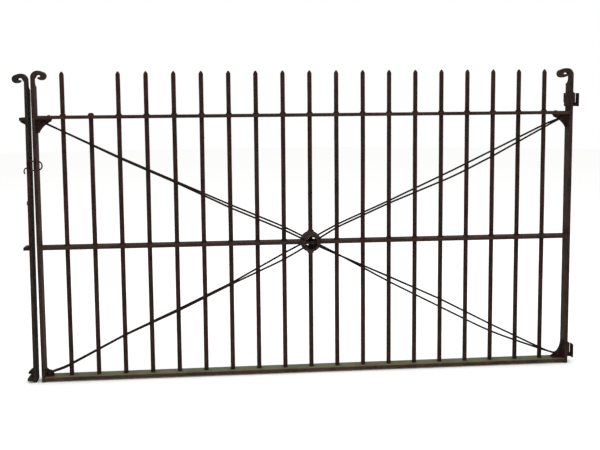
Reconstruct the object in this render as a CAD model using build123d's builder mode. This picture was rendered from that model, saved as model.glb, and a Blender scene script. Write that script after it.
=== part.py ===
from build123d import *
import math
import os

os.makedirs("parts", exist_ok=True)

# Garden gate leaf, its hanging pins, and the jamb bar with the hasp that it closes against.
# Millimetres, +Z up, +X to the hinge side, front towards -Y.
# The pieces are drawn about the middle of the leaf and written about the middle of the whole part,
# so the origin is on the ground, in the plane of the pickets, under the middle of the whole.

# --- driving sizes -------------------------------------------------------------------------
leaf_width = 2298.0
bar_thickness = 12.7
bar_depth = 63.5
toe_height = 8.0
middle_rail_underside = 568.0
top_rail_underside = 1114.0

picket_count = 19
picket_pitch = 114.3
picket_diameter = 19.05
picket_top = top_rail_underside + 195.0
picket_point_length = 13.0
picket_point_flat = 2.6
short_picket = 2

# --- fits ----------------------------------------------------------------------------------
pass_clearance = 0.25
hinge_pin_clearance = 0.08
loop_pin_clearance = 0.06
collar_gap = 0.6
rod_to_picket_gap = 1.2
groove_clearance = 0.15

# --- scrolls -------------------------------------------------------------------------------
scroll_top = top_rail_underside + 199.0
scroll_depth = 38.0
scroll_shoulder_below_top = 66.0
scroll_radius = 22.0
scroll_turn = 105.0
knob_radius = 9.65
knob_turn = 175.0
knob_core_radius = 9.5
latch_scroll_arm = 13.0
latch_scroll_tail = 13.0
hinge_scroll_arm = 18.0
hinge_scroll_tail = 26.0
heel_chamfer = 3.0

# --- rails ---------------------------------------------------------------------------------
tenon_width = 30.0
tenon_proud = 1.5
foot_tenon_radius = 6.0
rivet_dome_radius = 8.5
foot_head_height = 3.0
collar_radius = 14.0
collar_top_radius = 11.4
collar_height = 6.0
short_head_height = 5.0

# --- hub -----------------------------------------------------------------------------------
hub_radius = 45.0
hub_half_depth = 50.0
hub_rim_radius = 33.0
hub_wall = 8.0
hub_opening_radius = 26.0
hub_boss_radius = 14.0
hub_boss_reach = 50.0

# --- corner brackets -----------------------------------------------------------------------
web_thickness = 6.0
flange_thickness = 5.0
flange_width = 31.0
web_tip = 6.0
flange_rivet_radius = 3.0
flange_rivet_spread = 19.0
flange_rivet_head = 5.0
flange_rivet_head_height = 3.5

# --- brace rods ----------------------------------------------------------------------------
rod_radius = 3.97
rod_eye_radius = 9.0
rod_eye_thickness = 2 * rod_radius + 0.6
rod_neck = 14.0
rod_widest_bend = 1500.0
brace_rivet_radius = 4.0
brace_rivet_head = 7.0
brace_rivet_head_height = 4.0
rod_end_in_rim = 28.0

# --- hinges --------------------------------------------------------------------------------
hinge_pin_radius = 6.0
eye_barrel_radius = 10.0
pintle_collar_radius = 9.5
pintle_collar_height = 17.0
pin_proud = 4.0
pintle_plate_thickness = 4.0
pintle_plate_gap = 1.2
pintle_plate_front = 34.0
pintle_plate_rear = -2.0
pintle_arm_width = 14.0
pintle_arm_set_forward = 4.0
pintle_hole_radius = 3.25
pintle_hole_inset = 9.0
strap_thickness = 6.0
strap_depth = 62.0
hinge_rivet_radius = 4.0
hinge_rivet_head = 6.5
hinge_rivet_head_height = 4.0
hinge_rivet_spread = 48.0
upper_eye_underside = top_rail_underside + 51.0
upper_eye_height = 40.0
lower_eye_underside = 42.0
lower_eye_height = 43.0
lower_web_height = 28.0
lower_web_width = 18.0
inner_plate_drop = 18.0

# --- jamb and hasp -------------------------------------------------------------------------
jamb_gap_at_foot = 22.0
jamb_lean = 0.4
jamb_drop = 12.0
jamb_heel_chamfer = 7.0
lug_overlap = 8.0
lug_reach = 24.0
top_lug_top = 1121.0
top_lug_height = 37.0
middle_lug_top = 581.0
bottom_lug_top = 54.0
prong_gap = 13.0
prong_thickness = 8.0
prong_root = 12.0
lug_web_thickness = 20.0
strip_thickness = 4.0
strip_top = 768.0
strip_bottom = 571.0
strip_curl_radius = 7.0
strip_rivet_inset = 22.0

loop_rod_radius = 3.0
loop_pivot_from_stile = 21.0
loop_centre = 923.0
loop_half_height = 19.0
loop_reach = 57.0
loop_corner_radius = 6.0
eye_ring_wall = 3.2
eye_shank_width = 7.0
eye_ring_height = 6.0
eye_ring_spread = 9.0
tail_rod_radius = 2.8
tail_drop = 24.0
staple_plate_thickness = 3.0
staple_plate_height = 28.0
staple_half_height = 9.0
staple_reach = 13.0
staple_rod_radius = 2.5

# --- places that follow --------------------------------------------------------------------
stile_outer = leaf_width / 2
stile_inner = stile_outer - bar_thickness
stile_centre = stile_outer - bar_thickness / 2
edge = bar_depth / 2
bottom_rail_top = toe_height + bar_thickness
middle_rail_top = middle_rail_underside + bar_thickness
top_rail_top = top_rail_underside + bar_thickness
hub_height = middle_rail_underside + bar_thickness / 2
picket_radius = picket_diameter / 2
picket_hole = picket_radius + pass_clearance
picket_places = [(i - (picket_count - 1) / 2) * picket_pitch for i in range(picket_count)]
hinge_axis_x = stile_outer + eye_barrel_radius
rod_eye_plane = web_thickness / 2 + rod_eye_thickness / 2
rod_clear_plane = picket_radius + rod_radius + rod_to_picket_gap
rod_hub_plane = hub_half_depth - rod_radius
pintle_plate_x = hinge_axis_x + eye_barrel_radius + pintle_plate_gap
jamb_foot_x = -stile_outer - jamb_gap_at_foot - bar_thickness / 2


def scroll_reach(arm):
    """How far a scroll's knob reaches from the middle of its bar."""
    turn = math.radians(scroll_turn)
    return (scroll_radius * (1 - math.cos(turn)) + arm * math.sin(turn) + knob_radius * math.cos(turn)
            + knob_radius + bar_thickness / 2)


def knob_height(top, arm):
    turn = math.radians(scroll_turn)
    spring = top - scroll_radius - bar_thickness / 2
    return spring + scroll_radius * math.sin(turn) + arm * math.cos(turn) - knob_radius * math.sin(turn)


lean = math.radians(jamb_lean)
whole_left = (jamb_foot_x - scroll_reach(latch_scroll_arm) * math.cos(lean)
              + knob_height(scroll_top - jamb_drop, latch_scroll_arm) * math.sin(lean))
whole_right = pintle_plate_x + pintle_plate_thickness
leaf_offset = -(whole_left + whole_right) / 2


def write(piece, name):
    """Writes one node, moved so that the whole part is centred."""
    with BuildPart() as placed:
        add(piece.part.moved(Location((leaf_offset, 0, 0))))
    placed.part.label = name
    export_step(placed.part, f"parts/{name}.step")


def add_rivet(centre, direction, grip, shank, head, head_height, far_head=True):
    """A rivet in the open part: shank centred on the grip, coned head at the near end and maybe the far."""
    with Locations(Plane(origin=centre, z_dir=direction)):
        Cylinder(shank, grip)
        with Locations((0, 0, grip / 2)):
            Cone(head, head * 0.55, head_height, align=(Align.CENTER, Align.CENTER, Align.MIN))
        if far_head:
            with Locations(Location((0, 0, -grip / 2), (180, 0, 0))):
                Cone(head, head * 0.55, head_height, align=(Align.CENTER, Align.CENTER, Align.MIN))


# --- uprights: flat bar on edge, its end drawn down and rolled into a scroll -----------------
def upright(top, arm, tail, heel):
    """Foot at the origin, scroll curling towards +X."""
    spring = top - scroll_radius - bar_thickness / 2
    shoulder = top - scroll_shoulder_below_top
    neck = scroll_depth - edge
    with BuildPart() as bar:
        with BuildSketch(Plane.YZ):
            Polygon((-edge, 0), (edge, 0), (edge, shoulder), (neck, shoulder), (neck, spring),
                    (-edge, spring), align=None)
            inner_corner = vertices().filter_by(lambda v: abs(v.Y - shoulder) < 0.1).sort_by(Axis.X)[0]
            fillet(inner_corner, bar_depth - scroll_depth - 1)
            chamfer(vertices().group_by(Axis.Y)[0], heel)
        extrude(amount=bar_thickness / 2, both=True)
        with BuildLine(Plane.XZ.offset(edge - scroll_depth / 2)) as roll:
            rise = JernArc((0, spring), (0, 1), scroll_radius, -scroll_turn)
            reach = Line(rise @ 1, rise @ 1 + (rise % 1) * arm)
            knob = JernArc(reach @ 1, reach % 1, knob_radius, -knob_turn)
            Line(knob @ 1, knob @ 1 + (knob % 1) * tail)
        with BuildSketch(Plane.XY.offset(spring)):
            with Locations((0, scroll_depth / 2 - edge)):
                Rectangle(bar_thickness, scroll_depth)
        sweep(path=roll.line)
        with Locations(Location(knob.arc_center, (90, 0, 0))):
            Cylinder(knob_core_radius, scroll_depth)
    return bar.part


def stile(arm, tail):
    """A leaf stile, slotted for the tenons of the three rails."""
    with BuildPart() as bar:
        add(upright(scroll_top, arm, tail, heel_chamfer))
        for underside in (toe_height, middle_rail_underside, top_rail_underside):
            with Locations((0, 0, underside + bar_thickness / 2)):
                Box(bar_thickness + 2, tenon_width + 2 * pass_clearance, bar_thickness + 2 * pass_clearance,
                    mode=Mode.SUBTRACT)
    return bar.part


def flange_rivet_holes(corner):
    """Holes through the open part for the rivets of one corner bracket."""
    for hole_plane, grip in bracket_rivets(corner):
        with Locations(hole_plane):
            Cylinder(flange_rivet_radius + pass_clearance, grip + 2, mode=Mode.SUBTRACT)


# --- corner brackets: where they stand and how far they run ---------------------------------
# side (+1 hinge, -1 latch), way (-1 hangs under the top rail, +1 stands on the bottom rail),
# run along the rail, rise along the stile, hollow of the free edge, rod eye from stile and rail,
# rivets back from the flange tips.
corners = {
    "bracket_top_latch": (-1, -1, 61.0, 58.0, 7.0, (32.0, 16.0), 11.0),
    "bracket_top_hinge": (1, -1, 65.0, 58.0, 7.0, (30.0, 17.0), 12.0),
    "bracket_bottom_latch": (-1, 1, 34.0, 31.0, 1.0, (17.0, 14.5), 7.0),
    "bracket_bottom_hinge": (1, 1, 52.0, 76.0, 11.0, (26.0, 15.5), 11.0),
}


def corner_plane(corner):
    """Local x runs in from the stile, local y away from the rail, z along the gate's depth."""
    side, way = corners[corner][:2]
    level = bottom_rail_top if way > 0 else top_rail_underside
    return Plane(origin=(side * stile_inner, 0, level), x_dir=(-side, 0, 0), z_dir=(0, side * way, 0))


def corner_point(corner, inward, away, depth=0.0):
    side, way = corners[corner][:2]
    level = bottom_rail_top if way > 0 else top_rail_underside
    return Vector(side * (stile_inner - inward), depth, level + way * away)


def bracket_rivets(corner):
    """Plane and grip of the four flange rivets: two into the rail, two into the stile."""
    side, way, run, rise, _, _, back = corners[corner]
    grip = flange_thickness + bar_thickness
    middle = (flange_thickness - bar_thickness) / 2
    places = []
    for depth in (-flange_rivet_spread / 2, flange_rivet_spread / 2):
        into_rail = Plane(origin=corner_point(corner, run - back, middle, depth), z_dir=(0, 0, way))
        into_stile = Plane(origin=corner_point(corner, middle, rise - back, depth), z_dir=(-side, 0, 0))
        places += [(into_rail, grip), (into_stile, grip)]
    return places


def bracket(corner):
    _, _, run, rise, hollow, eye, _ = corners[corner]
    tip = flange_thickness + web_tip
    middle = Vector((run + tip) / 2, (tip + rise) / 2)
    across = Vector(rise - tip, run - tip).normalized()
    with BuildPart() as piece:
        with BuildSketch(corner_plane(corner)):
            with BuildLine():
                Polyline((tip, rise), (0, rise), (0, 0), (run, 0), (run, tip))
                ThreePointArc((run, tip), middle - across * hollow, (tip, rise))
            make_face()
            with Locations(eye):
                Circle(brace_rivet_radius + pass_clearance, mode=Mode.SUBTRACT)
        extrude(amount=web_thickness / 2, both=True)
        with BuildSketch(corner_plane(corner)):
            Polygon((0, 0), (run, 0), (run, flange_thickness), (flange_thickness, flange_thickness),
                    (flange_thickness, rise), (0, rise), align=None)
        extrude(amount=flange_width / 2, both=True)
        flange_rivet_holes(corner)
    return piece


# --- rails: flat bar laid flat, punched for the pickets and tenoned into the stiles ----------
def rail(underside, hole_radius):
    with BuildPart() as bar:
        with Locations((0, 0, underside + bar_thickness / 2)):
            Box(2 * stile_inner, bar_depth, bar_thickness)
            Box(leaf_width + 2 * tenon_proud, tenon_width, bar_thickness)
            with Locations([(x, 0, 0) for x in picket_places]):
                Cylinder(hole_radius, bar_thickness + 2, mode=Mode.SUBTRACT)
    return bar.part


with BuildPart() as bottom_rail:
    add(rail(toe_height, foot_tenon_radius + pass_clearance))
    flange_rivet_holes("bracket_bottom_latch")
    flange_rivet_holes("bracket_bottom_hinge")
write(bottom_rail, "bottom_rail")

with BuildPart() as middle_rail:
    add(rail(middle_rail_underside, picket_hole))
write(middle_rail, "middle_rail")

with BuildPart() as top_rail:
    add(rail(top_rail_underside, picket_hole))
    flange_rivet_holes("bracket_top_latch")
    flange_rivet_holes("bracket_top_hinge")
write(top_rail, "top_rail")

# --- stiles ----------------------------------------------------------------------------------
staple_depth = -edge - staple_plate_thickness


def staple_leg_holes():
    with Locations([(-stile_centre, -edge, loop_centre + way * staple_half_height) for way in (-1, 1)]):
        Cylinder(staple_rod_radius + pass_clearance, 2 * bar_thickness, rotation=(90, 0, 0),
                 mode=Mode.SUBTRACT)


def strap_rivet_places(underside, height):
    """Centres of the two rivets that hold a hinge strap to the stile."""
    return [(stile_centre, way * hinge_rivet_spread / 2, underside + height / 2) for way in (-1, 1)]


def strap_rivet_holes(underside, height):
    with Locations(strap_rivet_places(underside, height)):
        Cylinder(hinge_rivet_radius + pass_clearance, 4 * bar_thickness, rotation=(0, 90, 0),
                 mode=Mode.SUBTRACT)


with BuildPart() as latch_stile:
    with Locations((-stile_centre, 0, 0)):
        add(stile(latch_scroll_arm, latch_scroll_tail))
    flange_rivet_holes("bracket_top_latch")
    flange_rivet_holes("bracket_bottom_latch")
    staple_leg_holes()
write(latch_stile, "latch_stile")

with BuildPart() as hinge_stile:
    add(stile(hinge_scroll_arm, hinge_scroll_tail).mirror(Plane.YZ).moved(Location((stile_centre, 0, 0))))
    flange_rivet_holes("bracket_top_hinge")
    flange_rivet_holes("bracket_bottom_hinge")
    strap_rivet_holes(upper_eye_underside, upper_eye_height)
    strap_rivet_holes(lower_eye_underside, lower_eye_height)
write(hinge_stile, "hinge_stile")

# --- pickets: round bar, shouldered and riveted through the bottom rail ----------------------
short_top = top_rail_top + collar_height
with BuildPart() as long_bar:
    with BuildSketch(Plane.XZ):
        Polygon((0, toe_height - foot_head_height), (rivet_dome_radius * 0.6, toe_height - foot_head_height),
                (rivet_dome_radius, toe_height), (foot_tenon_radius, toe_height),
                (foot_tenon_radius, bottom_rail_top), (picket_radius, bottom_rail_top),
                (picket_radius, picket_top - picket_point_length), (picket_point_flat, picket_top),
                (0, picket_top), align=None)
    revolve(axis=Axis.Z)

with BuildPart() as short_bar:
    add(long_bar.part)
    split(bisect_by=Plane.XY.offset(short_top), keep=Keep.BOTTOM)
    with Locations((0, 0, short_top)):
        Cone(collar_top_radius, collar_top_radius * 0.5, short_head_height,
             align=(Align.CENTER, Align.CENTER, Align.MIN))

for number, x in enumerate(picket_places, start=1):
    with BuildPart() as picket:
        with Locations((x, 0, 0)):
            add(short_bar.part if number == short_picket else long_bar.part)
    write(picket, f"picket_{number:02d}")


# --- collars round the pickets ---------------------------------------------------------------
def collar_row(level, places):
    with BuildPart() as row:
        with Locations([(x, 0, level) for x in places]):
            Cone(collar_radius, collar_top_radius, collar_height,
                 align=(Align.CENTER, Align.CENTER, Align.MIN))
            Cylinder(picket_hole, 3 * collar_height, mode=Mode.SUBTRACT)
    return row


write(collar_row(top_rail_top, picket_places), "top_rail_collars")
beside_hub = [x for x in picket_places if abs(x) > hub_radius + collar_radius]
write(collar_row(middle_rail_top, beside_hub), "middle_rail_collars")

# --- brace rods: routes by hand, (inward from the hub axis, height above the hub axis) --------
# The last point before the eye is where the rod has come clear of the end picket.
rod_routes = {
    "upper_latch_front": [(116, 59), (341, 157), (570, 269), (798, 373), (1048, 498)],
    "upper_latch_rear": [(114, 61), (341, 161), (556, 260), (805, 375), (1048, 494)],
    "upper_hinge_front": [(107, 65), (335, 164), (622, 276), (796, 361), (1050, 496)],
    "upper_hinge_rear": [(117, 64), (347, 165), (636, 299), (864, 409), (1050, 500)],
    "lower_latch_front": [(116, -67), (343, -171), (571, -282), (797, -381), (1056, -518)],
    "lower_latch_rear": [(111, -56), (342, -181), (573, -288), (801, -390), (1056, -520)],
    "lower_hinge_front": [(108, -51), (337, -156), (566, -264), (795, -386), (1050, -515)],
    "lower_hinge_rear": [(118, -64), (350, -195), (579, -314), (807, -432), (1050, -522)],
}
# Those routes are for these heights from the hub axis to the rail, and stretch with them.
drawn_rise = {"upper": 539.65, "lower": 553.65}
rod_corner = {
    "upper_latch": "bracket_top_latch",
    "upper_hinge": "bracket_top_hinge",
    "lower_latch": "bracket_bottom_latch",
    "lower_hinge": "bracket_bottom_hinge",
}


def rod_points(name):
    """Route of one brace rod from the hub rim to its eye, as points in space."""
    arm, face = name.rsplit("_", 1)
    side = 1 if "hinge" in arm else -1
    depth_side = -1 if face == "front" else 1
    level = hub_height - bottom_rail_top if "lower" in arm else top_rail_underside - hub_height
    stretch = level / drawn_rise[arm.split("_")[0]]
    route = [(inward, rise * stretch) for inward, rise in rod_routes[name]]
    far = route[-1][0]
    near_x, near_z = route[0]
    start = rod_end_in_rim / math.hypot(near_x, near_z)
    flat = [(near_x * start, near_z * start)] + route
    points = []
    for inward, rise in flat:
        share = (far - inward) / (far - flat[0][0])
        depth = rod_clear_plane + share * (rod_hub_plane - rod_clear_plane)
        points.append(Vector(side * inward, depth_side * depth, hub_height + rise))
    corner = rod_corner[arm]
    eye = corner_point(corner, *corners[corner][5], depth_side * rod_eye_plane)
    back = points[-1] - eye
    neck = eye + Vector(back.X, 0, back.Z).normalized() * rod_neck
    return points + [neck, eye]


def bend_radii(points):
    """Each bend as wide as its two runs allow, up to the widest."""
    radii = []
    for before, at, after in zip(points, points[1:], points[2:]):
        turn = math.radians((at - before).get_angle(after - at))
        run = min((at - before).length, (after - at).length)
        radii.append(min(0.45 * run / math.tan(turn / 2), rod_widest_bend))
    return radii


def brace_rod(name):
    points = rod_points(name)
    eye = points[-1]
    with BuildPart() as rod:
        with BuildLine() as path:
            FilletPolyline(*points, radius=bend_radii(points))
        with BuildSketch(Plane(origin=path.line @ 0, z_dir=path.line % 0)):
            Circle(rod_radius)
        sweep(path=path.line)
        with Locations(Plane(origin=eye, z_dir=(0, 1, 0))):
            Cylinder(rod_eye_radius, rod_eye_thickness)
            Cylinder(brace_rivet_radius + pass_clearance, 2 * rod_eye_thickness, mode=Mode.SUBTRACT)
    return rod


for rod_name in rod_routes:
    write(brace_rod(rod_name), f"rod_{rod_name}")

# --- hub: two cast half shells, let over the middle rail and the centre picket ---------------
with BuildPart() as hub:
    with BuildSketch(Plane.XY.offset(hub_height)):
        with BuildLine():
            outer = ThreePointArc((hub_rim_radius, -hub_half_depth), (hub_radius, 0),
                                  (hub_rim_radius, hub_half_depth))
            Polyline(outer @ 1, (0, hub_half_depth), (0, -hub_half_depth), outer @ 0)
        make_face()
    revolve(axis=Axis((0, 0, hub_height), (0, 1, 0)))
    with Locations((0, 0, hub_height)):
        Cylinder(hub_boss_radius, 2 * hub_boss_reach)
    chamfer(edges().group_by(Axis.Z)[0] + edges().group_by(Axis.Z)[-1], 2)
    with BuildSketch(Plane.XY.offset(hub_height)):
        with BuildLine():
            inner = ThreePointArc((hub_opening_radius, -hub_half_depth), (hub_radius - hub_wall, 0),
                                  (hub_opening_radius, hub_half_depth))
            Polyline(inner @ 1, (0, hub_half_depth), (0, -hub_half_depth), inner @ 0)
        make_face()
    revolve(axis=Axis((0, 0, hub_height), (0, 1, 0)), mode=Mode.SUBTRACT)
    with Locations((0, 0, hub_height)):
        Cylinder(picket_hole, 3 * hub_radius, mode=Mode.SUBTRACT)
        Box(3 * hub_radius, bar_depth + 2 * pass_clearance, bar_thickness + 2 * pass_clearance,
            mode=Mode.SUBTRACT)
    for rod_name in rod_routes:
        start, first = rod_points(rod_name)[:2]
        with Locations(Plane(origin=start, z_dir=first - start)):
            Cylinder(rod_radius + groove_clearance, 4 * hub_wall, mode=Mode.SUBTRACT)

with BuildPart() as hub_front_shell:
    add(hub.part)
    split(bisect_by=Plane.XZ, keep=Keep.TOP)
write(hub_front_shell, "hub_front_shell")

with BuildPart() as hub_rear_shell:
    add(hub.part)
    split(bisect_by=Plane.XZ, keep=Keep.BOTTOM)
write(hub_rear_shell, "hub_rear_shell")

# --- brackets and their rivets ---------------------------------------------------------------
for corner_name in corners:
    write(bracket(corner_name), corner_name)

with BuildPart() as bracket_rivets_set:
    for corner_name in corners:
        for rivet_plane, grip in bracket_rivets(corner_name):
            into_rail = abs(rivet_plane.z_dir.Z) > 0.5
            add_rivet(rivet_plane.origin, rivet_plane.z_dir, grip, flange_rivet_radius, flange_rivet_head,
                      flange_rivet_head_height, far_head=into_rail)
write(bracket_rivets_set, "bracket_rivets")

with BuildPart() as brace_rivets:
    for corner_name in corners:
        add_rivet(corner_point(corner_name, *corners[corner_name][5]), (0, 1, 0),
                  web_thickness + 2 * rod_eye_thickness, brace_rivet_radius, brace_rivet_head,
                  brace_rivet_head_height)
write(brace_rivets, "brace_rivets")


# --- hinges: eye on a strap round the leaf, hook pin below it ---------------------------------
def hinge_eye(underside, height):
    """Barrel and its strap on the stile's outer face, wrapped over the rear edge."""
    with BuildPart() as eye:
        with BuildSketch(Plane.XY.offset(underside)):
            with Locations((stile_outer + strap_thickness / 2, (strap_thickness + 1) / 2)):
                Rectangle(strap_thickness, strap_depth + strap_thickness + 1)
            with Locations((hinge_axis_x, 0)):
                Circle(eye_barrel_radius)
                Circle(hinge_pin_radius + hinge_pin_clearance, mode=Mode.SUBTRACT)
        extrude(amount=height)
    return eye.part


wrap_inner = stile_inner - strap_thickness
with BuildPart() as upper_hinge_eye:
    add(hinge_eye(upper_eye_underside, upper_eye_height))
    with BuildSketch(Plane.XY.offset(upper_eye_underside)):
        Polygon((wrap_inner, edge), (stile_outer + strap_thickness, edge),
                (stile_outer + strap_thickness, edge + strap_thickness), (wrap_inner, edge + strap_thickness),
                align=None)
    extrude(amount=upper_eye_height)
    strap_rivet_holes(upper_eye_underside, upper_eye_height)
    with Locations((hinge_axis_x, 0, upper_eye_underside)):
        Cylinder(hinge_pin_radius + hinge_pin_clearance, 3 * upper_eye_height, mode=Mode.SUBTRACT)
write(upper_hinge_eye, "upper_hinge_eye")

with BuildPart() as lower_hinge_eye:
    add(hinge_eye(lower_eye_underside, lower_eye_height))
    with BuildSketch(Plane.XZ):
        top_of_eye = lower_eye_underside + lower_eye_height
        Polygon((stile_outer, top_of_eye), (hinge_axis_x - hinge_pin_radius - 1, top_of_eye),
                (stile_outer, top_of_eye + lower_web_height), align=None)
    extrude(amount=lower_web_width / 2, both=True)
    strap_rivet_holes(lower_eye_underside, lower_eye_height)
write(lower_hinge_eye, "lower_hinge_eye")

with BuildPart() as hinge_inner_plate:
    with Locations((stile_inner - strap_thickness / 2, 0, upper_eye_underside - inner_plate_drop)):
        Box(strap_thickness, bar_depth, upper_eye_height + inner_plate_drop,
            align=(Align.CENTER, Align.CENTER, Align.MIN))
    strap_rivet_holes(upper_eye_underside, upper_eye_height)
write(hinge_inner_plate, "hinge_inner_plate")

with BuildPart() as hinge_rivets:
    for place in strap_rivet_places(upper_eye_underside, upper_eye_height):
        add_rivet(place, (1, 0, 0), bar_thickness + 2 * strap_thickness, hinge_rivet_radius, hinge_rivet_head,
                  hinge_rivet_head_height)
    for place in strap_rivet_places(lower_eye_underside, lower_eye_height):
        centre = Vector(*place) + Vector(strap_thickness / 2, 0, 0)
        add_rivet(centre, (1, 0, 0), bar_thickness + strap_thickness, hinge_rivet_radius, hinge_rivet_head,
                  hinge_rivet_head_height)
write(hinge_rivets, "hinge_rivets")


def pintle(eye_underside, eye_height):
    """Hook: a vertical pin on a collar, carried by a plate that screws to the post's face."""
    collar_foot = eye_underside - collar_gap - pintle_collar_height
    plate_height = eye_underside + eye_height - collar_foot
    with BuildPart() as hook:
        with Locations((hinge_axis_x, 0, collar_foot)):
            Cylinder(pintle_collar_radius, pintle_collar_height,
                     align=(Align.CENTER, Align.CENTER, Align.MIN))
            Cylinder(hinge_pin_radius, plate_height + pin_proud,
                     align=(Align.CENTER, Align.CENTER, Align.MIN))
        chamfer(edges().group_by(Axis.Z)[-1], 2)
        with Locations((hinge_axis_x, -pintle_arm_set_forward, collar_foot)):
            Box(pintle_plate_x - hinge_axis_x, pintle_arm_width, pintle_collar_height,
                align=(Align.MIN, Align.CENTER, Align.MIN))
        with Locations((pintle_plate_x, pintle_plate_rear, collar_foot)):
            Box(pintle_plate_thickness, pintle_plate_front + pintle_plate_rear, plate_height,
                align=(Align.MIN, Align.MAX, Align.MIN))
        chamfer(edges().filter_by(Axis.X).sort_by(Axis.Y)[:2], 3)
        hole_y = pintle_hole_inset - pintle_plate_front
        with Locations([(pintle_plate_x, hole_y, collar_foot + pintle_hole_inset),
                        (pintle_plate_x, hole_y, collar_foot + plate_height - pintle_hole_inset)]):
            Cylinder(pintle_hole_radius, 4 * pintle_plate_thickness, rotation=(0, 90, 0), mode=Mode.SUBTRACT)
    return hook


write(pintle(upper_eye_underside, upper_eye_height), "upper_pintle")
write(pintle(lower_eye_underside, lower_eye_height), "lower_pintle")

# --- hasp staple on the front edge of the latch stile -----------------------------------------
with BuildPart() as hasp_staple:
    with Locations((-stile_centre, -edge, loop_centre)):
        Box(bar_thickness, staple_plate_thickness, staple_plate_height,
            align=(Align.CENTER, Align.MAX, Align.CENTER))
    nose = staple_depth - staple_reach + staple_rod_radius
    with BuildLine(Plane.YZ.offset(-stile_centre)) as staple_path:
        low_leg = Line((-edge + bar_thickness, loop_centre - staple_half_height),
                       (nose + staple_half_height, loop_centre - staple_half_height))
        bend = JernArc(low_leg @ 1, low_leg % 1, staple_half_height, -180)
        Line(bend @ 1, (-edge + bar_thickness, loop_centre + staple_half_height))
    with BuildSketch(Plane(origin=staple_path.line @ 0, z_dir=(0, -1, 0))):
        Circle(staple_rod_radius)
    sweep(path=staple_path.line)
write(hasp_staple, "hasp_staple")

# --- jamb bar: a second upright, leaning a little, scrolled the other way ----------------------
jamb_foot = Location((jamb_foot_x, 0, 0), (0, jamb_lean, 0))


def jamb_left(height):
    """X of the jamb bar's left face at a height."""
    return jamb_foot_x - bar_thickness / 2 + height * math.tan(lean)


strip_rivet_heights = (strip_bottom + strip_rivet_inset, strip_top - strip_rivet_inset)


def leaned(piece):
    """The same piece, tipped with the jamb bar."""
    with BuildPart() as tipped:
        add(piece.part.moved(jamb_foot))
        split(bisect_by=Plane.XY, keep=Keep.TOP)
    return tipped


def strip_rivet_holes():
    with Locations([(0, -edge, height) for height in strip_rivet_heights]):
        Cylinder(flange_rivet_radius + pass_clearance, 2 * bar_thickness, rotation=(90, 0, 0),
                 mode=Mode.SUBTRACT)


with BuildPart() as plumb_bar:
    add(upright(scroll_top - jamb_drop, latch_scroll_arm, latch_scroll_tail, jamb_heel_chamfer)
        .mirror(Plane.YZ))
    strip_rivet_holes()
jamb_bar = leaned(plumb_bar)
write(jamb_bar, "jamb_bar")


def lug(profile, depth):
    """A stub from a profile of (X, Z) corners, as deep as given."""
    with BuildPart() as stub:
        with BuildSketch(Plane.XZ):
            Polygon(*profile, align=None)
        extrude(amount=depth / 2, both=True)
    return stub.part


def lug_piece(shapes):
    with BuildPart() as piece:
        for profile, depth in shapes:
            add(lug(profile, depth))
        add(jamb_bar.part, mode=Mode.SUBTRACT)
    return piece


def stub_bar(top):
    """Cut end of a rail: the full flat bar, its top at the height given."""
    root, end = jamb_left(top) + lug_overlap, jamb_left(top) - lug_reach
    return [(root, top), (end, top), (end, top - bar_thickness), (root, top - bar_thickness)]


top_root, top_end = jamb_left(top_lug_top) + lug_overlap, jamb_left(top_lug_top) - lug_reach
top_web_level = top_lug_top - bar_thickness
top_web = [(top_root, top_web_level), (top_end, top_web_level), (top_end, top_web_level - web_tip),
           (top_root, top_lug_top - top_lug_height)]
write(lug_piece([(stub_bar(top_lug_top), bar_depth), (top_web, lug_web_thickness)]), "jamb_lug_top")
write(lug_piece([(stub_bar(middle_lug_top), bar_depth)]), "jamb_lug_middle")

prong_under = bottom_rail_top + prong_gap
foot_root, foot_end = jamb_left(0) + lug_overlap, jamb_left(0) - lug_reach
prong_heel = jamb_left(0) - prong_root
bottom_web = [(foot_root, bottom_lug_top), (prong_heel, bottom_lug_top),
              (foot_end, prong_under + prong_thickness), (foot_end, prong_under),
              (prong_heel, prong_under), (prong_heel, bottom_rail_top), (foot_root, bottom_rail_top)]
write(lug_piece([(stub_bar(bottom_rail_top), bar_depth), (bottom_web, lug_web_thickness)]), "jamb_lug_bottom")

# --- strip riveted to the jamb's front edge, its top turned out into a thumb curl --------------
strip_front = -edge - strip_thickness / 2
with BuildPart() as plumb_strip:
    with BuildLine(Plane.YZ) as strip_path:
        straight = Line((strip_front, strip_bottom), (strip_front, strip_top))
        JernArc(straight @ 1, straight % 1, strip_curl_radius, 230)
    with BuildSketch(Plane.XY.offset(strip_bottom)):
        with Locations((0, strip_front)):
            Rectangle(bar_thickness, strip_thickness)
    sweep(path=strip_path.line)
    strip_rivet_holes()
write(leaned(plumb_strip), "jamb_strip")

with BuildPart() as plumb_rivets:
    for height in strip_rivet_heights:
        add_rivet((0, -edge + (bar_thickness - strip_thickness) / 2, height), (0, -1, 0),
                  bar_thickness + strip_thickness, flange_rivet_radius, flange_rivet_head,
                  flange_rivet_head_height, far_head=False)
write(leaned(plumb_rivets), "jamb_rivets")

# --- hasp: a D loop hung in two eyes on the jamb's front edge ----------------------------------
eye_ring_bore = loop_rod_radius + loop_pin_clearance
eye_ring_radius = eye_ring_bore + eye_ring_wall
loop_x = -stile_outer - loop_pivot_from_stile
loop_y = -edge - eye_ring_radius - 1

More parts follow.
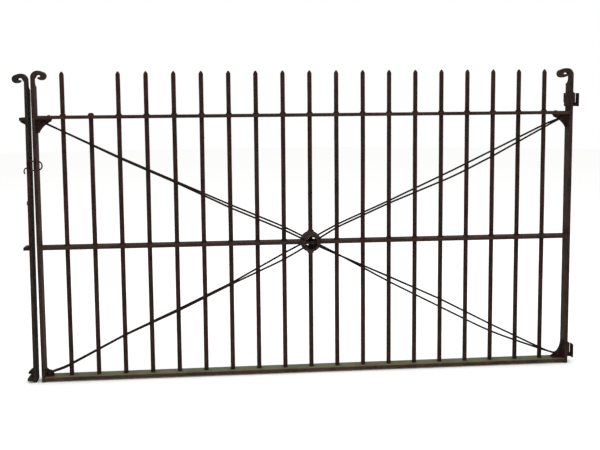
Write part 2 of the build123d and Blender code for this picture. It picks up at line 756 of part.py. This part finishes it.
with BuildPart() as hasp_loop:
    end_centre = loop_x + loop_reach - loop_half_height
    top_level = loop_centre + loop_half_height
    low_level = loop_centre - loop_half_height
    with BuildLine(Plane.XZ.offset(-loop_y)) as loop_path:
        low_corner = JernArc((loop_x, low_level + loop_corner_radius), (0, -1), loop_corner_radius, 90)
        low_side = Line(low_corner @ 1, (end_centre, low_level))
        nose_bend = JernArc(low_side @ 1, low_side % 1, loop_half_height, 180)
        top_side = Line(nose_bend @ 1, (loop_x + loop_corner_radius, top_level))
        JernArc(top_side @ 1, top_side % 1, loop_corner_radius, 90)
    with BuildSketch(Plane(origin=loop_path.line @ 0, z_dir=loop_path.line % 0)):
        Circle(loop_rod_radius)
    sweep(path=loop_path.line)
    with Locations((loop_x, loop_y, loop_centre)):
        Cylinder(loop_rod_radius, 2 * (loop_half_height - loop_corner_radius))
write(hasp_loop, "hasp_loop")

with BuildPart() as hasp_eyes:
    for height in (loop_centre - eye_ring_spread, loop_centre + eye_ring_spread):
        with Locations((loop_x, loop_y, height)):
            Cylinder(eye_ring_radius, eye_ring_height)
            Box(eye_shank_width, -edge - loop_y, eye_ring_height,
                align=(Align.CENTER, Align.MIN, Align.CENTER))
            Cylinder(eye_ring_bore, 2 * eye_ring_height, mode=Mode.SUBTRACT)
    tail_start = Vector(loop_x - eye_ring_radius + tail_rod_radius / 2, loop_y, loop_centre - eye_ring_spread)
    with BuildLine() as tail_path:
        FilletPolyline(tail_start, tail_start + (-7, 0, -2), tail_start + (-11, -2, -tail_drop / 2),
                       tail_start + (-8, -3, -tail_drop), radius=(3.5, 5.0))
    with BuildSketch(Plane(origin=tail_path.line @ 0, z_dir=tail_path.line % 0)):
        Circle(tail_rod_radius)
    sweep(path=tail_path.line)
write(hasp_eyes, "hasp_eyes")
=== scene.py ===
import math

import bmesh
import bpy
from mathutils import Matrix, Vector, noise


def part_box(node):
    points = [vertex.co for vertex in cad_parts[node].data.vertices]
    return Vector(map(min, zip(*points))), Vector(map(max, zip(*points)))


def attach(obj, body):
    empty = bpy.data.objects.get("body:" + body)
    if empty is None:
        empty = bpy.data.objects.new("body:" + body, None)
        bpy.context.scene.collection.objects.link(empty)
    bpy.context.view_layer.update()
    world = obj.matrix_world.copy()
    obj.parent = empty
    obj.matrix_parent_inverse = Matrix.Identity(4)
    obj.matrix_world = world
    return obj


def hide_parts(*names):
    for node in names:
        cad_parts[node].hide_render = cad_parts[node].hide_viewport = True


# --- frame -----------------------------------------------------------------------------------
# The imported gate, in metres: every piece below takes its place from the nodes.
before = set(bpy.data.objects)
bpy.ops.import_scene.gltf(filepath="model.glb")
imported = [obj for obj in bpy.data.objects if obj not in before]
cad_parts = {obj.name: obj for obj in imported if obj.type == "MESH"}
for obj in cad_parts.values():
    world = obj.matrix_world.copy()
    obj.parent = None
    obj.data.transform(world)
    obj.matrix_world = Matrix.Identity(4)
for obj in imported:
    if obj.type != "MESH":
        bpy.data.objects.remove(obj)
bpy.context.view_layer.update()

# --- camera ----------------------------------------------------------------------------------
# Eye height, a little left of the gate's middle, turned slightly right and tipped down.
EYE = Vector((-0.3275, -3.9064, 1.2579))
YAW, PITCH, ROLL = math.radians(-5.762), math.radians(-6.071), math.radians(-0.357)
camera_data = bpy.data.cameras.new("gate_camera")
camera_data.sensor_width = 36.0
camera_data.lens = 55.08
camera_data.shift_x = -0.0333
camera_data.shift_y = -0.075
camera = bpy.data.objects.new("gate_camera", camera_data)
turn = (Matrix.Rotation(YAW, 4, "Z") @ Matrix.Rotation(math.pi / 2 + PITCH, 4, "X")
        @ Matrix.Rotation(ROLL, 4, "Z"))
camera.matrix_world = Matrix.Translation(EYE) @ turn
bpy.context.scene.collection.objects.link(camera)
bpy.context.scene.camera = camera


# --- floor, sky and lights -------------------------------------------------------------------
# A plain white studio floor under an even white sky, with broad soft boxes over the gate, before it
# and behind it.
def linear(colour):
    """An sRGB hex colour as linear RGBA."""
    channels = [int(colour[i:i + 2], 16) / 255 for i in (1, 3, 5)]
    return [c / 12.92 if c <= 0.04045 else ((c + 0.055) / 1.055) ** 2.4 for c in channels] + [1.0]


def add_node(tree, kind, links=None, **settings):
    """A node with its settings; links maps its input names to sockets or constants."""
    node = tree.nodes.new(kind)
    for key, value in settings.items():
        setattr(node, key, value)
    for name, source in (links or {}).items():
        socket = node.inputs[name]
        if isinstance(source, bpy.types.NodeSocket):
            tree.links.new(source, socket)
        else:
            socket.default_value = source
    return node


FLOOR_RADIUS = 14.0
floor_bm = bmesh.new()
bmesh.ops.create_circle(floor_bm, cap_ends=True, segments=96, radius=FLOOR_RADIUS)
floor_mesh = bpy.data.meshes.new("floor")
floor_bm.to_mesh(floor_mesh)
floor_bm.free()
floor = bpy.data.objects.new("floor", floor_mesh)
bpy.context.scene.collection.objects.link(floor)
floor_paint = bpy.data.materials.new("pale_floor")
floor_paint.use_nodes = True
floor_shader = floor_paint.node_tree.nodes["Principled BSDF"]
floor_shader.inputs["Base Color"].default_value = linear("#fbfbfa")
floor_shader.inputs["Roughness"].default_value = 1.0
floor_shader.inputs["Specular IOR Level"].default_value = 0.0
floor_mesh.materials.append(floor_paint)

sky = bpy.data.worlds.new("studio_sky")
sky.use_nodes = True
sky.node_tree.nodes["Background"].inputs["Color"].default_value = linear("#ffffff")
sky.node_tree.nodes["Background"].inputs["Strength"].default_value = 1.0
bpy.context.scene.world = sky
bpy.context.scene.view_settings.view_transform = "Standard"

for light_name, place, target, size, watts in (
    ("box_over", (0.2, -0.6, 4.6), (0.0, 0.0, 0.0), 5.0, 90.0),
    ("box_front", (-2.4, -4.4, 3.0), (0.0, 0.0, 0.6), 2.5, 30.0),
    ("box_back", (2.0, 4.5, 3.0), (0.0, 0.0, 0.6), 2.5, 20.0),
):
    light_data = bpy.data.lights.new(light_name, "AREA")
    light_data.size = size
    light_data.energy = watts
    light = bpy.data.objects.new(light_name, light_data)
    light.location = place
    light.rotation_euler = (Vector(target) - Vector(place)).to_track_quat("-Z", "Y").to_euler()
    bpy.context.scene.collection.objects.link(light)


# --- pickets ---------------------------------------------------------------------------------
# Round wrought-iron bar, drawn to a blunt point, shouldered and riveted through the bottom rail; one
# stops at the top rail and is riveted over there. Decades outdoors have left it chocolate brown,
# matt, finely pitted and patchy.
MM = 0.001


def weathered_iron(name, rust, scale, bloom, bloom_share, pit_mm, moss=None, moss_share=0.0):
    """Old iron: rust over darker forge scale, a dusty bloom, pits, and moss where it faces up.

    Real pits are finer; they are drawn 2 to 4 mm across so that they show.
    """
    material = bpy.data.materials.new(name)
    material.use_nodes = True
    tree = material.node_tree
    shader = tree.nodes["Principled BSDF"]
    place = add_node(tree, "ShaderNodeTexCoord").outputs["Object"]
    patch_size, mottle_size, pit_size, pit_depth = 60 * MM, 9 * MM, pit_mm * MM, 0.8 * MM
    patches = add_node(tree, "ShaderNodeTexNoise", {"Vector": place, "Scale": 1 / patch_size,
                                                    "Detail": 6.0, "Roughness": 0.65})
    mottle = add_node(tree, "ShaderNodeTexNoise", {"Vector": place, "Scale": 1 / mottle_size,
                                                   "Detail": 5.0, "Roughness": 0.7})
    pits = add_node(tree, "ShaderNodeTexVoronoi", {"Vector": place, "Scale": 1 / pit_size})
    patch_mask = add_node(tree, "ShaderNodeMapRange", {"Value": patches.outputs["Fac"], "From Min": 0.38,
                                                       "From Max": 0.62})
    mottle_mask = add_node(tree, "ShaderNodeMapRange", {"Value": mottle.outputs["Fac"], "From Min": 0.42,
                                                        "From Max": 0.62, "To Max": bloom_share})
    ground = add_node(tree, "ShaderNodeMix", {"Factor": patch_mask.outputs["Result"], "A": linear(scale),
                                              "B": linear(rust)}, data_type="RGBA")
    dusted = add_node(tree, "ShaderNodeMix", {"Factor": mottle_mask.outputs["Result"],
                                              "A": ground.outputs["Result"], "B": linear(bloom)},
                      data_type="RGBA")
    colour = dusted.outputs["Result"]
    if moss:
        facing = add_node(tree, "ShaderNodeSeparateXYZ",
                          {"Vector": add_node(tree, "ShaderNodeNewGeometry").outputs["Normal"]})
        upward = add_node(tree, "ShaderNodeMapRange", {"Value": facing.outputs["Z"], "From Min": 0.55,
                                                       "From Max": 0.95, "To Max": moss_share})
        tufts = add_node(tree, "ShaderNodeMath",
                         {0: upward.outputs["Result"], 1: patches.outputs["Fac"]}, operation="MULTIPLY")
        spread = add_node(tree, "ShaderNodeMath", {0: tufts.outputs["Value"], 1: 1.8},
                          operation="MULTIPLY", use_clamp=True)
        grown = add_node(tree, "ShaderNodeMix", {"Factor": spread.outputs["Value"], "A": colour,
                                                 "B": linear(moss)}, data_type="RGBA")
        colour = grown.outputs["Result"]
    tree.links.new(colour, shader.inputs["Base Color"])
    grain = add_node(tree, "ShaderNodeMath", {0: mottle.outputs["Fac"], 1: 0.6}, operation="MULTIPLY")
    relief = add_node(tree, "ShaderNodeMath", {0: pits.outputs["Distance"], 1: grain.outputs["Value"]},
                      operation="ADD")
    bump = add_node(tree, "ShaderNodeBump", {"Height": relief.outputs["Value"], "Strength": 0.55,
                                             "Distance": pit_depth})
    tree.links.new(bump.outputs["Normal"], shader.inputs["Normal"])
    shader.inputs["Roughness"].default_value = 0.9
    shader.inputs["Specular IOR Level"].default_value = 0.12
    return material


CREASE_ANGLE = math.radians(38)


def finish_piece(bm, name, body, slot, material, *stands_for):
    """Writes the mesh as a smooth-shaded piece that rides on a body and stands for CAD nodes."""
    mesh = bpy.data.meshes.new(name)
    for face in bm.faces:
        face.smooth = True
    bm.to_mesh(mesh)
    bm.free()
    mesh.set_sharp_from_angle(angle=CREASE_ANGLE)
    mesh.materials.append(material)
    piece = bpy.data.objects.new(name, mesh)
    bpy.context.scene.collection.objects.link(piece)
    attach(piece, body)
    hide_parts(*stands_for)
    return piece


def lathe(bm, profile, segments):
    """Spins a list of (radius, height) about Z and closes both ends."""
    verts = [bm.verts.new((radius, 0, height)) for radius, height in profile]
    edges = [bm.edges.new(pair) for pair in zip(verts, verts[1:])]
    bmesh.ops.spin(bm, geom=verts + edges, axis=(0, 0, 1), cent=(0, 0, 0), steps=segments,
                   angle=math.tau, use_merge=True)
    bmesh.ops.holes_fill(bm, edges=[e for e in bm.edges if e.is_boundary], sides=0)


picket_iron = weathered_iron("rusted_wrought_iron_round", "#2f1c17", "#190f0c", "#3b261f", 0.4, 3.5)
PICKET_RINGS, PICKET_SIDES = 48, 18
HAMMER_MARK, BAR_BEND = 0.3 * MM, 0.9 * MM
TENON_RADIUS = 6.0 * MM
RIVETED_HEAD, DRAWN_POINT = 5 * MM, 13 * MM
rail_foot, rail_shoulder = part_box("bottom_rail")[0][2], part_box("bottom_rail")[1][2]
bar_radius = (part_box("picket_01")[1][0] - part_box("picket_01")[0][0]) / 2
for name in sorted(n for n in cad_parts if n.startswith("picket_")):
    low, high = [Vector(corner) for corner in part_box(name)]
    middle = (low + high) / 2
    short = high.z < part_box("top_rail")[1][2] + 30 * MM
    head_start = high.z - (RIVETED_HEAD if short else DRAWN_POINT)
    profile = [(2.5 * MM, low.z), (6.6 * MM, low.z + 0.8 * MM), (8.4 * MM, rail_foot - 0.3 * MM),
               (TENON_RADIUS, rail_foot), (TENON_RADIUS, rail_shoulder),
               (bar_radius, rail_shoulder + 0.1 * MM)]
    for ring in range(1, PICKET_RINGS):
        profile.append((bar_radius, rail_shoulder + (head_start - rail_shoulder) * ring / PICKET_RINGS))
    if short:
        profile += [(bar_radius, head_start), (11.4 * MM, head_start + 0.1 * MM),
                    (10.9 * MM, head_start + 1.8 * MM), (8.0 * MM, head_start + 4.2 * MM),
                    (3.0 * MM, high.z)]
    else:
        profile += [(bar_radius, head_start), (8.7 * MM, head_start + 3 * MM),
                    (6.0 * MM, head_start + 8 * MM), (3.6 * MM, head_start + 11.6 * MM),
                    (1.4 * MM, high.z)]
    bm = bmesh.new()
    lathe(bm, profile, PICKET_SIDES)
    for vert in bm.verts:
        if rail_shoulder + MM < vert.co.z < head_start:
            out = Vector((vert.co.x, vert.co.y, 0))
            seed = Vector((middle.x * 40 + out.x * 60, out.y * 60, vert.co.z * 18))
            vert.co += out.normalized() * noise.noise(seed) * HAMMER_MARK
            share = (vert.co.z - rail_shoulder) / (high.z - rail_shoulder)
            sway = noise.noise(Vector((middle.x * 7.3, 0.5, vert.co.z * 2.2)))
            sway *= math.sin(math.pi * share)
            vert.co += Vector((BAR_BEND * sway, 0, 0))
        vert.co += Vector((middle.x, middle.y, 0))
    finish_piece(bm, f"bar_{name}", "leaf", "picket_bar", picket_iron, name)


# --- rails -----------------------------------------------------------------------------------
# Three lengths of flat wrought bar laid flat, punched for the pickets and tenoned through the stiles.
# Rust brown and matt; the bottom one stays damp, so its top face carries a grey-green film.
ARRIS_ANGLE = math.radians(28)


def worn_copy(node, edge_mm, edge_segments=2, wobble_mm=0.2, cut_mm=None):
    """A solid's shape with its edges worn round, cut across its length and hammered a little uneven."""
    bm = bmesh.new()
    bm.from_mesh(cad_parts[node].data)
    bmesh.ops.remove_doubles(bm, verts=bm.verts, dist=0.01 * MM)
    bmesh.ops.dissolve_limit(bm, angle_limit=math.radians(0.6), verts=bm.verts, edges=bm.edges)
    if edge_mm:
        arrises = [e for e in bm.edges if len(e.link_faces) == 2 and e.calc_face_angle(0) > ARRIS_ANGLE]
        bmesh.ops.bevel(bm, geom=arrises, offset=edge_mm * MM, offset_type="OFFSET",
                        segments=edge_segments, profile=0.5, affect="EDGES", clamp_overlap=True,
                        material=-1)
    if cut_mm:
        low, high = [Vector(corner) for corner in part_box(node)]
        for step in range(1, int((high.x - low.x) / (cut_mm * MM))):
            bmesh.ops.bisect_plane(bm, geom=bm.verts[:] + bm.edges[:] + bm.faces[:], dist=0.001 * MM,
                                   plane_co=(low.x + step * cut_mm * MM, 0, 0), plane_no=(1, 0, 0))
    bmesh.ops.triangulate(bm, faces=[f for f in bm.faces if len(f.verts) > 4])
    bm.normal_update()
    for vert, normal in [(v, v.normal.copy()) for v in bm.verts]:
        vert.co += normal * noise.noise(vert.co * 55) * wobble_mm * MM
    return bm


rail_iron = weathered_iron("rusted_wrought_iron_flat", "#33231c", "#1d1411", "#402f26", 0.4, 4.0)
foot_rail_iron = weathered_iron("algae_stained_wrought_flat", "#3b2b22", "#251b15", "#493a2e", 0.45, 4.0,
                                "#5c5d45", 1.0)
for node, iron in (("bottom_rail", foot_rail_iron), ("middle_rail", rail_iron), ("top_rail", rail_iron)):
    finish_piece(worn_copy(node, 0.9, cut_mm=37), f"flat_{node}", "leaf", "rail_bar", iron, node)

# --- collars ---------------------------------------------------------------------------------
# Low coned rings shrunk round every picket where it comes up through the middle and top rails,
# so that the flat bar is trapped. Forged, brown and pitted like the pickets.
fitting_iron = weathered_iron("rusted_forging", "#2d1b16", "#190f0c", "#3b2720", 0.4, 2.6)
for node in ("middle_rail_collars", "top_rail_collars"):
    finish_piece(worn_copy(node, 1.3, 3, 0.35), f"ring_{node}", "leaf", "small_forgings",
                 fitting_iron, node)


# --- stiles ----------------------------------------------------------------------------------
# The two ends of the leaf: flat bar set on edge, its rear half cut away in a curve near the top and
# the rest rolled over and snubbed in a scroll. Grey-brown, a little greyer than the pickets.
BAR_HALF, BAR_FRONT, BAR_REAR, NECK_REAR = 6.35 * MM, -31.75 * MM, 31.75 * MM, 6.25 * MM
SHOULDER_DROP, SPRING_DROP, KNOB_REACH = 66 * MM, 28.35 * MM, 17.5 * MM
ARCH_TURN, KNOB_TURN = math.radians(105), math.radians(176)
ARCH_SWELL, KNOB_SWELL = 1.42, 1.2
SHANK_STEPS, CORNER_ROUND, THICK_TO_DEEP = 40, 0.08, 0.2


def forge_upright(bm, top, arm, tail, heel):
    """Extrudes one bar from its foot, at the origin, up and over towards +X.

    A station is where the bar's middle is, its heading, half its thickness, and its front and rear.
    """
    half, front, rear, neck = BAR_HALF, BAR_FRONT, BAR_REAR, NECK_REAR
    shoulder, spring = top - SHOULDER_DROP, top - SPRING_DROP
    cut = rear - neck - MM
    stations = [(0, 0, 0, half - 0.6 * MM, front + heel, rear - heel), (0, heel, 0, half, front, rear)]
    for step in range(1, SHANK_STEPS + 1):
        stations.append((0, heel + (shoulder - heel) * step / SHANK_STEPS, 0, half, front, rear))
    for share in (0.02, 0.07, 0.16, 0.3, 0.48, 0.7, 1.0):
        up = cut * share
        back = neck + cut - math.sqrt(cut ** 2 - (up - cut) ** 2)
        stations.append((0, shoulder + up, 0, half * (1 - 0.03 * share), front, back))
    stations.append((0, spring - 6 * MM, 0, half, front, neck))
    arch_half = ARCH_SWELL * half
    arch = SPRING_DROP - arch_half
    place, heading = Vector((arch_half - half, 0, spring)), 0.0
    knob = KNOB_REACH - half * KNOB_SWELL
    for radius, sweep, length, steps, thick_from, thick_to in (
        (arch, ARCH_TURN, 0, 12, ARCH_SWELL, ARCH_SWELL),
        (0, 0, arm, 3, ARCH_SWELL, KNOB_SWELL),
        (knob, KNOB_TURN, 0, 12, KNOB_SWELL, 1.1),
        (0, 0, tail * 0.55, 3, 1.1, 0.85),
        (0, 0, tail * 0.45, 3, 0.85, 0.48),
    ):
        for step in range(1, steps + 1):
            turned = sweep / steps
            run = 2 * radius * math.sin(turned / 2) + length / steps
            along = heading + turned / 2
            place = place + Vector((math.sin(along), 0, math.cos(along))) * run
            heading += turned
            thick = half * (thick_from + (thick_to - thick_from) * step / steps)
            stations.append((place.x, place.z, heading, thick, front, neck))
    bmesh.ops.create_grid(bm, x_segments=1, y_segments=1, size=0.5)
    bmesh.ops.bevel(bm, geom=bm.verts[:], offset=CORNER_ROUND, offset_type="OFFSET", segments=3,
                    profile=0.5, affect="VERTICES", material=-1)
    bmesh.ops.subdivide_edges(bm, edges=[e for e in bm.edges if e.calc_length() > 0.5], cuts=4)
    for vert in bm.verts:
        corner = THICK_TO_DEEP if abs(vert.co.y) > 0.5 - CORNER_ROUND else 1.0
        vert.co.y = math.copysign(0.5 - (0.5 - abs(vert.co.y)) * corner, vert.co.y)
    section = [v.co.copy() for v in bm.verts]
    bm.verts.ensure_lookup_table()
    ring, cap = bm.verts[:], bm.faces[:]
    for number, (x, z, heading, thick, low_y, high_y) in enumerate(stations):
        if number:
            grown = bmesh.ops.extrude_face_region(bm, geom=cap)["geom"]
            cap = [item for item in grown if isinstance(item, bmesh.types.BMFace)]
            new_ring = [None] * len(ring)
            for vert in (item for item in grown if isinstance(item, bmesh.types.BMVert)):
                before = next(e.other_vert(vert) for e in vert.link_edges if e.other_vert(vert) in ring)
                new_ring[ring.index(before)] = vert
            ring = new_ring
        across = Vector((math.cos(heading), 0, -math.sin(heading)))
        for vert, flat in zip(ring, section):
            depth = low_y + (flat.y + 0.5) * (high_y - low_y)
            vert.co = Vector((x, depth, z)) + across * flat.x * 2 * thick
    bmesh.ops.recalc_face_normals(bm, faces=bm.faces)
    bm.normal_update()
    for vert, normal in [(v, v.normal.copy()) for v in bm.verts]:
        vert.co += normal * noise.noise(vert.co * 45) * 0.35 * MM
    arch_centre = Vector((arch_half - half + arch, 0, spring))
    along = Vector((math.sin(ARCH_TURN), 0, math.cos(ARCH_TURN)))
    inward = Vector((math.cos(ARCH_TURN), 0, -math.sin(ARCH_TURN)))
    knob_centre = arch_centre - inward * arch + along * arm + inward * knob
    snub = bmesh.ops.create_cone(bm, cap_ends=True, segments=24, radius1=knob - half * 0.9,
                                 radius2=knob - half * 0.9, depth=neck - front - 1.6 * MM)["verts"]
    bmesh.ops.rotate(bm, verts=snub, cent=(0, 0, 0), matrix=Matrix.Rotation(math.pi / 2, 3, "X"))
    bmesh.ops.translate(bm, verts=snub, vec=knob_centre + Vector((0, (front + neck) / 2, 0)))


stile_iron = weathered_iron("weathered_wrought_upright", "#2f2019", "#19110d", "#3b2c23", 0.45, 4.0)
leaf_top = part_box("latch_stile")[1][2]
for node, arm, tail, toward in (("latch_stile", 13 * MM, 13 * MM, 1),
                                ("hinge_stile", 18 * MM, 26 * MM, -1)):
    low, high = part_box(node)
    foot = low[0] + BAR_HALF if toward > 0 else high[0] - BAR_HALF
    bm = bmesh.new()
    forge_upright(bm, leaf_top, arm, tail, 3 * MM)
    bmesh.ops.scale(bm, vec=(toward, 1, 1), verts=bm.verts)
    bmesh.ops.translate(bm, vec=(foot, 0, 0), verts=bm.verts)
    bmesh.ops.recalc_face_normals(bm, faces=bm.faces)
    finish_piece(bm, f"scrolled_{node}", "leaf", "upright_bar", stile_iron, node)

# --- hub -------------------------------------------------------------------------------------
# A hollow cast-iron boss in two half shells, closed over the crossing of the middle rail and the
# middle picket, with the eight brace rods let into its rim. Greyer and finer grained than the
# pickets; inside, its walls are painted near-black as painted shade.
hub_iron = weathered_iron("weathered_cast_iron", "#30231c", "#1b1410", "#42362a", 0.45, 2.2)
# Painted shade: a near-black copy of the cast iron that stands in for the shadow inside the hollow boss.
hub_painted_shade = weathered_iron("cast_iron_painted_shade", "#0e0908", "#070504", "#171009", 0.4, 2.2)
hub_low, hub_high = [Vector(corner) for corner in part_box("hub_front_shell")]
hub_axis = Vector(((hub_low.x + hub_high.x) / 2, 0, (hub_low.z + hub_high.z) / 2))
HUB_INSIDE, TURNED_INWARD = 38.5 * MM, -0.4
for node in ("hub_front_shell", "hub_rear_shell"):
    casting = finish_piece(worn_copy(node, 1.6, 3, 0.3), f"cast_{node}", "leaf", "hub_casting",
                           hub_iron, node)
    # Inner-wall faces near the axis that turn inward take the painted shade as their second material.
    casting.data.materials.append(hub_painted_shade)
    for face in casting.data.polygons:
        spoke = face.center - hub_axis
        spoke.y = 0
        if spoke.length < HUB_INSIDE and face.normal.dot(spoke) < TURNED_INWARD * spoke.length:
            face.material_index = 1

# --- brace rods ------------------------------------------------------------------------------
# Eight long rods of thin round iron, bent by hand to pass before and behind the pickets, each with a
# flattened eye at its corner. The thinnest iron, so the darkest and most evenly rusted.
rod_iron = weathered_iron("rusted_round_rod", "#1f120e", "#120907", "#2a1812", 0.35, 2.4)
for node in sorted(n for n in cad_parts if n.startswith("rod_")):
    finish_piece(worn_copy(node, 0, wobble_mm=0.25), f"bent_{node}", "leaf", "brace_rod", rod_iron, node)

# --- corner brackets and rivets --------------------------------------------------------------
# A hooked web between two flanges in each corner, riveted to rail and stile; a longer rivet clamps
# the two rod eyes on the web. Rivet heads are hammered domes.
for node in ("bracket_top_latch", "bracket_top_hinge", "bracket_bottom_latch", "bracket_bottom_hinge"):
    finish_piece(worn_copy(node, 1.0, 2, 0.3), f"forged_{node}", "leaf", "small_forgings",
                 fitting_iron, node)
for node in ("bracket_rivets", "brace_rivets"):
    finish_piece(worn_copy(node, 1.2, 3, 0.2), f"domed_{node}", "leaf", "small_forgings",
                 fitting_iron, node)

# --- hinge eyes and hooks --------------------------------------------------------------------
# Barrels on straps riveted through the hinge stile, dropped on hooks whose plates screw to a post.
# Forged like the other fittings and rusted with them.
for node in ("upper_hinge_eye", "lower_hinge_eye", "hinge_inner_plate"):
    finish_piece(worn_copy(node, 0.9, 2, 0.25), f"forged_{node}", "leaf", "small_forgings",
                 fitting_iron, node)
finish_piece(worn_copy("hinge_rivets", 1.4, 3, 0.2), "domed_hinge_rivets", "leaf", "small_forgings",
             fitting_iron, "hinge_rivets")
for node in ("upper_pintle", "lower_pintle"):
    finish_piece(worn_copy(node, 0.8, 2, 0.25), f"hook_{node}", "jamb", "small_forgings",
                 fitting_iron, node)

# --- jamb bar --------------------------------------------------------------------------------
# A second upright like the stiles, scrolled the other way and leaning a little, that the leaf closes
# against. Stubs of its own rails stay on it. Damp has left it duller and greyer than the leaf.
jamb_iron = weathered_iron("damp_stained_upright", "#2a1f19", "#17110d", "#332d23", 0.5, 4.0)
LEAN = math.radians(0.4)
CLOSING_GAP, JAMB_SHORTER = 22 * MM, 12 * MM
jamb_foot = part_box("latch_stile")[0][0] - (CLOSING_GAP + BAR_HALF)
bm = bmesh.new()
forge_upright(bm, leaf_top - JAMB_SHORTER, 13 * MM, 13 * MM, 7 * MM)
bmesh.ops.scale(bm, vec=(-1, 1, 1), verts=bm.verts)
bmesh.ops.rotate(bm, verts=bm.verts, cent=(0, 0, 0), matrix=Matrix.Rotation(LEAN, 3, "Y"))
bmesh.ops.translate(bm, vec=(jamb_foot, 0, 0), verts=bm.verts)
bmesh.ops.recalc_face_normals(bm, faces=bm.faces)
finish_piece(bm, "scrolled_jamb_bar", "jamb", "upright_bar", jamb_iron, "jamb_bar")
for node in ("jamb_lug_top", "jamb_lug_middle", "jamb_lug_bottom"):
    finish_piece(worn_copy(node, 0.9, 2, 0.3), f"stub_{node}", "jamb", "rail_bar", jamb_iron, node)

# --- thumb strip and hasp --------------------------------------------------------------------
# A strip riveted up the jamb's front edge with its top turned out, and a D-shaped loop hung in two
# eyes that swings over a staple on the leaf. Small hand forgings, deep brown.
for node, shaped, body, edge_mm, edge_segments, wobble_mm in (
    ("jamb_strip", "curled", "jamb", 0.7, 2, 0.3),
    ("jamb_rivets", "domed", "jamb", 1.2, 3, 0.2),
    ("hasp_eyes", "forged", "jamb", 0.6, 2, 0.15),
    ("hasp_loop", "bent", "hasp", 0, 2, 0.12),
    ("hasp_staple", "bent", "leaf", 0.5, 2, 0.15),
):
    finish_piece(worn_copy(node, edge_mm, edge_segments, wobble_mm), f"{shaped}_{node}", body,
                 "small_forgings", fitting_iron, node)
